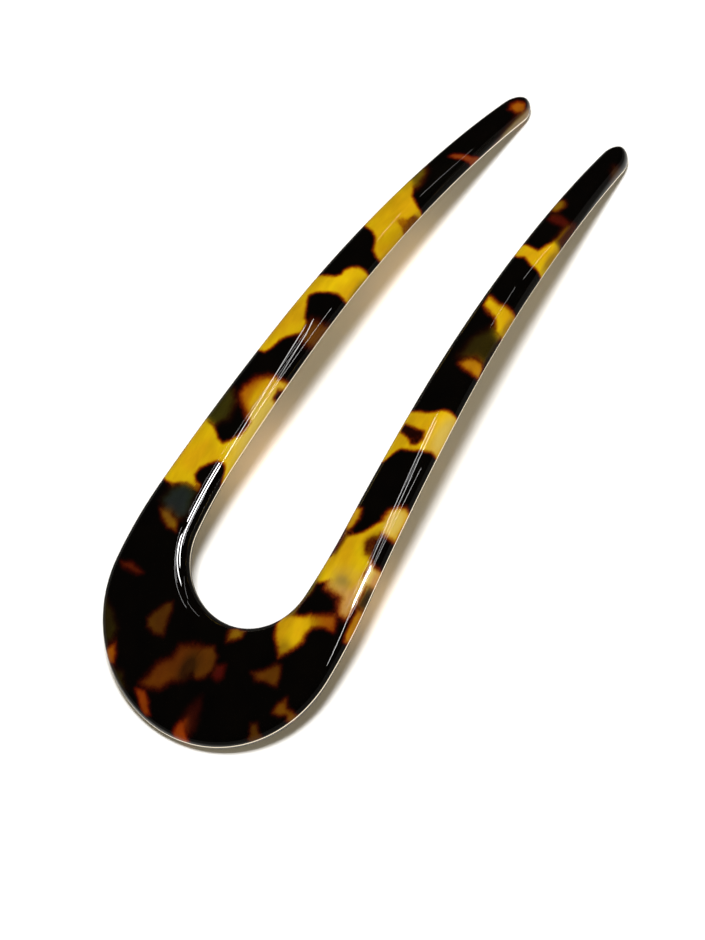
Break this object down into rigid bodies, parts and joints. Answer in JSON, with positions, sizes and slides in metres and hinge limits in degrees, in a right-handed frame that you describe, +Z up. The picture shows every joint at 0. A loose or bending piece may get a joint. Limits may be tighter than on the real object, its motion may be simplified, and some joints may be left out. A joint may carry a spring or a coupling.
{
  "type": "french hair pin",
  "caption": "Flat U-shaped hair pin with a broad round crown and long tapering prongs, bowed lengthwise so that it slides through a twist of hair and holds it.",
  "frame": {"origin": "on the surface that the pin lies on, under the middle of its bounding box", "axes": "+Y runs along the pin from the crown to the tips, +X across it and +Z up, out of the raised side of the bow. The left and right halves mirror each other in x = 0"},
  "size_m": [0.0416, 0.1152, 0.0147],
  "materials": {
    "tortoiseshell": "highly polished cellulose acetate in a tortoiseshell pattern: near-black brown blotches with red-brown rims over clear golden yellow"
  },
  "bodies": {
    "root": {"hair_pin": "tortoiseshell"}
  },
  "joints": []
}
